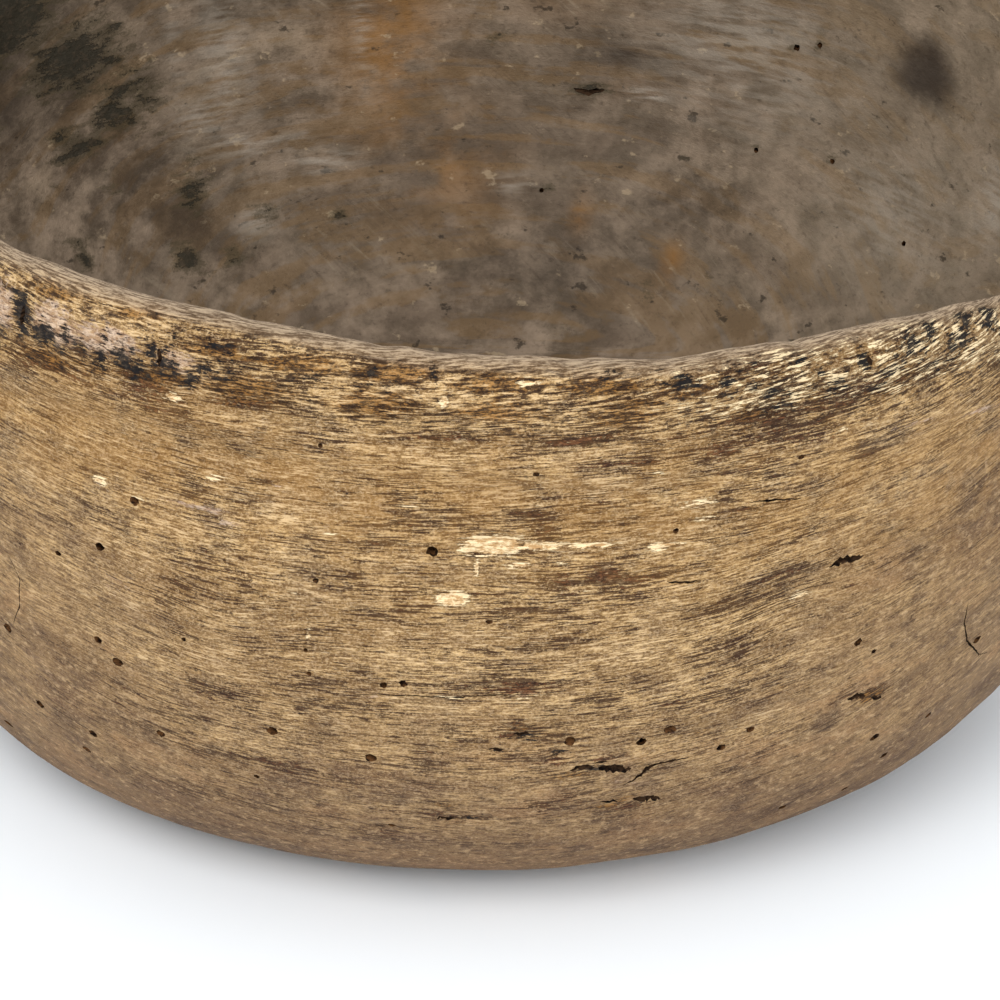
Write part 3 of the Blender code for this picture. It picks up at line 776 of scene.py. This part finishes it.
class Recipe:
    """Strings shader nodes together for one material."""

    def __init__(self, name):
        self.material = bpy.data.materials.new(name)
        self.material.use_nodes = True
        self.tree = self.material.node_tree
        self.shader = self.tree.nodes["Principled BSDF"]

    def plug(self, socket, value):
        if isinstance(value, bpy.types.NodeSocket):
            self.tree.links.new(value, socket)
        else:
            socket.default_value = value

    def node(self, kind, **settings):
        made = self.tree.nodes.new(kind)
        for name, value in settings.items():
            setattr(made, name, value)
        return made

    def math(self, operation, first, second):
        made = self.node("ShaderNodeMath", operation=operation)
        self.plug(made.inputs[0], first)
        self.plug(made.inputs[1], second)
        return made.outputs[0]

    def times(self, *values):
        total = values[0]
        for value in values[1:]:
            total = self.math("MULTIPLY", total, value)
        return total

    def plus(self, *values):
        """Sum of values; a tuple stands for the product of its parts."""
        parts = [self.times(*value) if isinstance(value, tuple) else value for value in values]
        total = parts[0]
        for part in parts[1:]:
            total = self.math("ADD", total, part)
        return total

    def off(self, value):
        """How far a noise is from its middle."""
        return self.math("SUBTRACT", value, 0.5)

    def mix(self, share, first, second):
        made = self.node("ShaderNodeMix", data_type="RGBA")
        self.plug(made.inputs[0], share)
        self.plug(made.inputs[6], first)
        self.plug(made.inputs[7], second)
        return made.outputs[2]

    def coat(self, base, *layers):
        """Lay display colours over the base in turn, each by the product of its shares."""
        for colour, *shares in layers:
            base = self.mix(self.times(*shares), base, tone(*colour))
        return base

    def blend(self, share, first, second):
        made = self.node("ShaderNodeMix", data_type="FLOAT")
        self.plug(made.inputs[0], share)
        self.plug(made.inputs[2], first)
        self.plug(made.inputs[3], second)
        return made.outputs[0]

    def read(self, name, vector=False):
        made = self.node("ShaderNodeAttribute", attribute_name=name)
        return made.outputs["Vector" if vector else "Fac"]

    def place(self):
        return self.node("ShaderNodeTexCoord").outputs["Object"]

    def noise(self, where, sizes, detail=2.0, rough=0.5, shift=0.0):
        scaled = self.node("ShaderNodeVectorMath", operation="DIVIDE")
        self.plug(scaled.inputs[0], where)
        scaled.inputs[1].default_value = tuple(size * MM for size in sizes)
        moved = self.node("ShaderNodeVectorMath", operation="ADD")
        self.plug(moved.inputs[0], scaled.outputs[0])
        moved.inputs[1].default_value = (shift, shift * 0.7, shift * 1.3)
        made = self.node("ShaderNodeTexNoise")
        self.plug(made.inputs["Vector"], moved.outputs[0])
        made.inputs["Scale"].default_value = 1.0
        made.inputs["Detail"].default_value = detail
        made.inputs["Roughness"].default_value = rough
        return made.outputs[0]

    def grade(self, value, low, high):
        """0 at low and 1 at high, eased; works downwards too."""
        made = self.node("ShaderNodeMapRange", interpolation_type="SMOOTHSTEP")
        self.plug(made.inputs["Value"], value)
        self.plug(made.inputs["From Min"], min(low, high))
        self.plug(made.inputs["From Max"], max(low, high))
        self.plug(made.inputs["To Min"], 0.0 if low < high else 1.0)
        self.plug(made.inputs["To Max"], 1.0 if low < high else 0.0)
        return made.outputs["Result"]

    def bump(self, height, distance):
        made = self.node("ShaderNodeBump")
        self.plug(made.inputs["Height"], height)
        made.inputs["Distance"].default_value = distance
        self.plug(self.shader.inputs["Normal"], made.outputs[0])


def figure(r, where):
    """The timber's figure in one set of grain directions: along, deep, across."""
    broad = r.off(r.noise(where, (90, 45, 30), 1.0, 0.5, 3.0))
    close = r.off(r.noise(where, (24, 14, 9), 2.0, 0.5, 8.0))
    sway = r.node("ShaderNodeCombineXYZ")
    r.plug(sway.inputs[2], r.plus((broad, 0.0050), (close, 0.0018)))
    bent = r.node("ShaderNodeVectorMath", operation="ADD")
    r.plug(bent.inputs[0], where)
    r.plug(bent.inputs[1], sway.outputs[0])
    path = bent.outputs[0]
    fibre = r.noise(path, (3.6, 2.2, 0.44), 3.0, 0.66)
    hair = r.noise(path, (6.4, 2.4, 0.35), 2.0, 0.60, 5.0)
    streak = r.noise(path, (12.0, 6.0, 1.6), 6.0, 0.78, 17.0)
    band = r.noise(path, (56.0, 22.0, 5.0), 3.0, 0.60, 11.0)
    snap = r.noise(path, (0.9, 0.9, 0.40), 3.0, 0.70, 23.0)
    fleck = r.noise(path, (2.6, 1.8, 0.9), 4.0, 0.72, 31.0)
    cluster = r.noise(path, (22.0, 12.0, 6.5), 4.0, 0.66, 43.0)
    return fibre, hair, streak, band, snap, fleck, cluster


def wood_material():
    """Aged, oiled and worn brown timber, outside, lip and hollow, with painted shade low on the wall, painted
    light and shade in the hollow and a painted sheen on the lip.
    """
    r = Recipe("old_brown_timber")
    place = r.place()
    fibre, hair, streak, band, snap, fleck, cluster = figure(r, r.read("grain", vector=True))
    inner, grey_shade_and_lit, calm, foot = map(r.read, ("inner", "grey_shade_and_lit", "calm", "foot"))
    lip_band, under = map(r.read, ("band", "under_band"))
    crest, char, stain_and_shade, scuff_and_light, warm, fresh = map(r.read, ("crest", "char", "stain_and_shade", "scuff_and_light", "warm", "fresh"))
    patches = r.noise(place, (45, 45, 30), 3.0, 0.55, 2.0)
    mottle = r.noise(place, (11, 11, 9), 5.0, 0.66, 6.0)
    pillars = r.noise(place, (7, 7, 26), 3.0, 0.55, 4.0)
    grit = r.noise(place, (1.9, 1.9, 1.4), 4.0, 0.7, 9.0)
    dust = r.noise(place, (0.55, 0.55, 0.42), 2.0, 0.75, 12.0)
    clouds = r.noise(place, (24, 24, 12), 5.0, 0.62, 19.0)
    crumb = r.noise(place, (9.0, 9.0, 2.7), 4.0, 0.62, 14.0)
    ripples = r.noise(place, (10.0, 10.0, 1.5), 2.0, 0.55, 27.0)
    pocks = r.noise(place, (5.5, 5.5, 3.2), 4.0, 0.6, 52.0)
    slanted = r.node("ShaderNodeVectorRotate", rotation_type="Y_AXIS")
    r.plug(slanted.inputs["Vector"], place)
    slanted.inputs["Angle"].default_value = math.radians(-40.0)
    scrape = r.noise(slanted.outputs[0], (22.0, 14.0, 1.3), 4.0, 0.66, 36.0)
    off_streak, off_fibre, off_snap, off_dust = map(r.off, (streak, fibre, snap, dust))

    # Outside wall: golden tan fibres crossed by brown bands, dark open pores and clustered stains
    tint = r.plus(fibre, (off_snap, 0.6))
    skin = r.mix(r.grade(tint, 0.35, 0.65), tone(96, 70, 42), tone(192, 156, 106))
    skin = r.coat(
        skin,
        ((98, 70, 39), r.grade(band, 0.44, 0.64), 0.5),
        ((124, 93, 58), r.grade(patches, 0.42, 0.66), 0.38),
        ((90, 68, 45), r.grade(pillars, 0.48, 0.68), 0.15),
        ((189, 158, 117), r.grade(pillars, 0.5, 0.34), 0.1),
        ((86, 64, 45), r.grade(mottle, 0.5, 0.7), 0.34),
        # greyer, darker lower wall and flanks: partly the timber's own tone, partly painted shade
        ((120, 95, 71), grey_shade_and_lit, 0.5),
        ((77, 58, 45), grey_shade_and_lit, r.grade(mottle, 0.46, 0.64), r.plus(0.6, (calm, -0.34))),
        ((92, 66, 51), grey_shade_and_lit, r.grade(clouds, 0.5, 0.68), r.plus(0.55, (calm, -0.25))),
        ((163, 124, 85), grey_shade_and_lit, r.grade(clouds, 0.48, 0.34), 0.45),
    )
    busy = r.plus(1.0, (calm, -0.4), (grey_shade_and_lit, -0.35))
    skin = r.coat(
        skin,
        ((61, 44, 30), r.grade(dust, 0.5, 0.64), 0.36, busy),
        ((222, 195, 158), r.grade(dust, 0.5, 0.36), 0.26, busy),
    )
    clustered = r.off(cluster)
    off_mottle = r.off(mottle)
    density = r.plus((off_streak, 0.5), (clustered, 0.75), (off_mottle, 0.2))
    broken = r.plus((off_snap, 0.32), (off_dust, 0.22))
    dark_level = r.plus(hair, density, (stain_and_shade, 0.13), (calm, -0.05), (grey_shade_and_lit, -0.032), broken)
    dark_hairs = r.grade(dark_level, 0.598, 0.618)
    skin = r.coat(skin, ((51, 31, 21), dark_hairs, r.plus(0.88, (calm, -0.25), (grey_shade_and_lit, -0.16))))
    stain_level = r.plus(streak, (stain_and_shade, 0.24), (off_fibre, -0.6), (broken, 1.4), (clustered, 0.3))
    dark_runs = r.grade(stain_level, 0.672, 0.712)
    run_fibres = r.grade(r.plus(fibre, (off_snap, 0.8)), 0.4, 0.6)
    skin = r.mix(r.times(dark_runs, 0.86), skin, r.mix(run_fibres, tone(49, 29, 20), tone(108, 70, 45)))
    light_level = r.plus(fibre, (density, -0.6), (broken, 1.1), (grey_shade_and_lit, -0.055))
    light_runs = r.grade(light_level, 0.625, 0.665)
    skin = r.coat(
        skin,
        ((220, 189, 147), light_runs, r.plus(0.48, (grey_shade_and_lit, -0.2))),
        # painted shade towards the foot, where the wall turns under
        ((88, 66, 52), foot, 0.46),
    )
    crumbly = r.plus(0.2, (grey_shade_and_lit, 0.3))
    skin = r.coat(
        skin,
        ((69, 50, 36), r.grade(grit, 0.54, 0.66), crumbly),
        ((189, 158, 119), r.grade(grit, 0.46, 0.34), crumbly),
    )

    # Thickened band: frayed and flecked, over a warm stretch of wall, with rust-brown places
    skin = r.coat(skin, ((147, 104, 51), under, 0.28, r.grade(mottle, 0.62, 0.4)))
    frayed = r.grade(r.plus(fleck, (off_fibre, -0.6), (off_snap, 0.5)), 0.54, 0.6)
    skin = r.coat(skin, ((51, 37, 27), lip_band, frayed, 0.8))
    rust_level = r.plus((warm, 0.42), (streak, 0.6), (fleck, 0.3), (off_fibre, -0.5))
    rusty = r.mix(r.grade(r.plus(fibre, off_snap), 0.4, 0.64), tone(45, 29, 17), tone(145, 102, 53))
    skin = r.mix(r.times(r.grade(rust_level, 0.62, 0.78), 0.8), skin, rusty)

    # Hollow: olive-brown, scraped and stained, with painted light on its far right side and painted shade on
    # its left
    cup = r.mix(r.grade(mottle, 0.32, 0.66), tone(140, 121, 102), tone(89, 76, 62))
    drift = r.plus((cluster, 0.6), (clouds, 0.4))
    cup = r.coat(
        cup,
        ((87, 72, 59), r.grade(drift, 0.48, 0.6), 0.48),
        ((157, 136, 112), r.grade(drift, 0.47, 0.36), 0.34),
        ((95, 83, 70), r.grade(patches, 0.4, 0.64), 0.4),
        ((126, 97, 62), r.grade(r.plus(band, (off_mottle, 0.5)), 0.52, 0.62), 0.36),
        # painted light: paler on the lit far right side of the hollow
        ((163, 145, 121), grey_shade_and_lit, 0.3),
        ((134, 95, 52), warm, r.grade(clouds, 0.68, 0.42), 0.85),
    )
    scraping = r.times(r.grade(patches, 0.5, 0.6), r.grade(crumb, 0.36, 0.56))
    cup = r.coat(
        cup,
        ((150, 134, 112), r.grade(scrape, 0.54, 0.7), scraping, 0.32),
        ((72, 59, 48), r.grade(scrape, 0.46, 0.32), scraping, 0.32),
        ((58, 48, 39), r.grade(grit, 0.54, 0.72), 0.3),
        ((47, 40, 32), r.grade(pocks, 0.64, 0.71), 0.75),
        ((173, 151, 121), r.grade(pocks, 0.36, 0.29), 0.5),
        ((62, 50, 41), r.grade(r.plus(streak, (grit, 0.5)), 0.76, 0.98), 0.25),
        # dark stains, and painted shade on the hollow's left side
        ((54, 46, 40), r.grade(r.plus(stain_and_shade, (mottle, 0.8)), 0.45, 1.25), 0.9),
        # pale scrapes, and painted light on the hollow's right side
        ((171, 160, 145), scuff_and_light, r.grade(ripples, 0.36, 0.62), 0.8),
    )
    wood = r.mix(inner, skin, cup)

    # The bare lip, its pale grey partly worn timber and partly a painted sheen, scuffs, soot and fresh
    # splinters lie over both
    bare_lip_and_sheen = r.mix(r.grade(r.plus(fibre, (off_snap, 0.4)), 0.38, 0.62), tone(90, 70, 52), tone(178, 154, 126))
    wood = r.mix(r.times(crest, r.plus(0.6, (inner, 0.25))), wood, bare_lip_and_sheen)
    scraped = r.grade(r.plus((scuff_and_light, 0.58), fleck, (mottle, 0.4), (broken, 1.6)), 0.94, 1.12)
    pale_scrape = r.mix(r.grade(grit, 0.4, 0.6), tone(146, 114, 90), tone(208, 180, 156))
    wood = r.mix(r.times(scraped, 0.66, r.math("SUBTRACT", 1.0, inner)), wood, pale_scrape)
    flaked = r.plus(fleck, (off_fibre, -0.45), (off_snap, 0.5))
    crust = r.blend(inner, flaked, crumb)
    soot_level = r.plus((char, r.plus(0.35, (inner, 0.13))), crust, (lip_band, 0.08), (off_dust, 0.3))
    singed = r.grade(soot_level, 0.66, 0.8)
    wood = r.mix(r.times(singed, 0.6), wood, r.mix(inner, tone(66, 46, 30), tone(70, 62, 46)))
    sooty = r.grade(r.plus(soot_level, (inner, -0.04)), 0.79, 0.85)
    soot_tone = r.mix(inner, tone(21, 20, 22), tone(38, 37, 30))
    soot = r.mix(r.grade(grit, 0.46, 0.66), soot_tone, tone(66, 56, 45))
    wood = r.mix(r.times(sooty, r.plus(0.94, (inner, -0.2))), wood, soot)
    splinter = r.grade(r.plus(fresh, (off_fibre, 1.6), (off_snap, 0.5)), 0.44, 0.56)
    wood = r.mix(splinter, wood, r.mix(run_fibres, tone(174, 136, 92), tone(228, 201, 158)))
    r.plug(r.shader.inputs["Base Color"], wood)

    r.plug(r.shader.inputs["Roughness"], r.plus(0.5, (fibre, 0.26), (sooty, 0.15), (crest, 0.08)))
    r.plug(r.shader.inputs["Specular IOR Level"], r.plus(0.11, (sooty, 0.08), (crest, -0.04)))
    height = r.plus(
        (fibre, r.plus(0.35, (inner, -0.25))),
        (dark_hairs, r.plus(-0.35, (inner, 0.33))),
        (dark_runs, r.plus(-0.2, (inner, 0.18))),
        (snap, 0.35),
        (grit, r.plus(0.3, (lip_band, 0.9), (sooty, 0.8))),
        (mottle, r.plus(0.5, (inner, 0.8))),
        (clouds, 1.6),
        (sooty, -0.8),
        (splinter, -0.4),
    )
    r.bump(height, 0.00045)
    return r.material


def plain_wood(name, dark, light, sizes, rough):
    """Timber bared by a hole, crack or chip."""
    r = Recipe(name)
    figure_noise = r.noise(r.place(), sizes, 3.0, 0.6)
    r.plug(r.shader.inputs["Base Color"], r.mix(r.grade(figure_noise, 0.36, 0.64), dark, light))
    r.shader.inputs["Roughness"].default_value = rough
    r.shader.inputs["Specular IOR Level"].default_value = 0.08
    r.bump(figure_noise, 0.0003)
    return r.material


# ---- the bowl
timber = {
    "wood": wood_material(),
    "bore": plain_wood("borer_tunnel_timber", tone(32, 23, 18), tone(92, 63, 39), (1.2, 1.2, 0.8), 0.9),
    # Crack walls: dark timber, its darkness partly painted shade deep in the cracks
    "crevice": plain_wood("crevice_timber_and_shade", tone(22, 17, 14), tone(66, 49, 36), (5.0, 2.0, 0.7), 0.9),
}
fineness = 1.0
bowl = cut_everything(ring_mesh(fineness), timber)
for face in bowl.data.polygons:
    face.use_smooth = True
bowl.data.set_sharp_from_angle(angle=SHARP_EDGE)
measure(bowl.data)
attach(bowl, "root")
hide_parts("carved_bowl")

# ---- studio
def sweep_material():
    """Pale matte paper."""
    r = Recipe("pale_paper")
    r.shader.inputs["Base Color"].default_value = (0.94, 0.965, 0.985, 1.0)
    r.shader.inputs["Roughness"].default_value = 0.9
    return r.material


bpy.ops.mesh.primitive_plane_add(size=12.0, location=(0.0, 0.0, 0.0))
ground = bpy.context.object
ground.name = "studio_floor"
ground.data.materials.append(sweep_material())

world = bpy.data.worlds.new("soft_room")
world.use_nodes = True
sky = world.node_tree.nodes["Background"]
sky.inputs["Color"].default_value = (0.88, 0.94, 1.0, 1.0)
sky.inputs["Strength"].default_value = 0.98
bpy.context.scene.world = world


def soft_light(name, place, target, size, power, colour):
    """Large soft box aimed at a point."""
    lamp = bpy.data.lights.new(name, "AREA")
    lamp.shape = "SQUARE"
    lamp.size = size
    lamp.energy = power
    lamp.color = colour
    holder = bpy.data.objects.new(name, lamp)
    holder.location = place
    holder.rotation_euler = (Vector(target) - Vector(place)).to_track_quat("-Z", "Y").to_euler()
    bpy.context.scene.collection.objects.link(holder)


bowl_middle = (0.0, 0.0, 0.08)
soft_light("key_box", (-0.45, -1.25, 1.45), bowl_middle, 0.9, 16.2, (0.99, 0.99, 0.99))
soft_light("front_box", (0.30, -1.7, 0.80), bowl_middle, 1.3, 12.8, (1.0, 1.0, 1.0))
soft_light("back_box", (0.1, 1.15, 1.15), bowl_middle, 1.2, 6.0, (1.0, 0.98, 0.95))

# Camera: a long lens looking down at the front of the bowl from close by
ELEVATION = math.radians(28.0)
REACH = 0.80
LOOK_AT = Vector((0.0053, -0.150, 0.1128))
lens = bpy.data.cameras.new("detail_lens")
lens.sensor_width = 36.0
lens.lens = 158.6
lens.clip_start = 0.01
camera = bpy.data.objects.new("detail_camera", lens)
backwards = Vector((0.0, -math.cos(ELEVATION), math.sin(ELEVATION)))
camera.location = LOOK_AT + backwards * REACH
camera.rotation_euler = (-backwards).to_track_quat("-Z", "Y").to_euler()
bpy.context.scene.collection.objects.link(camera)
bpy.context.scene.camera = camera
bpy.context.scene.view_settings.view_transform = "Standard"
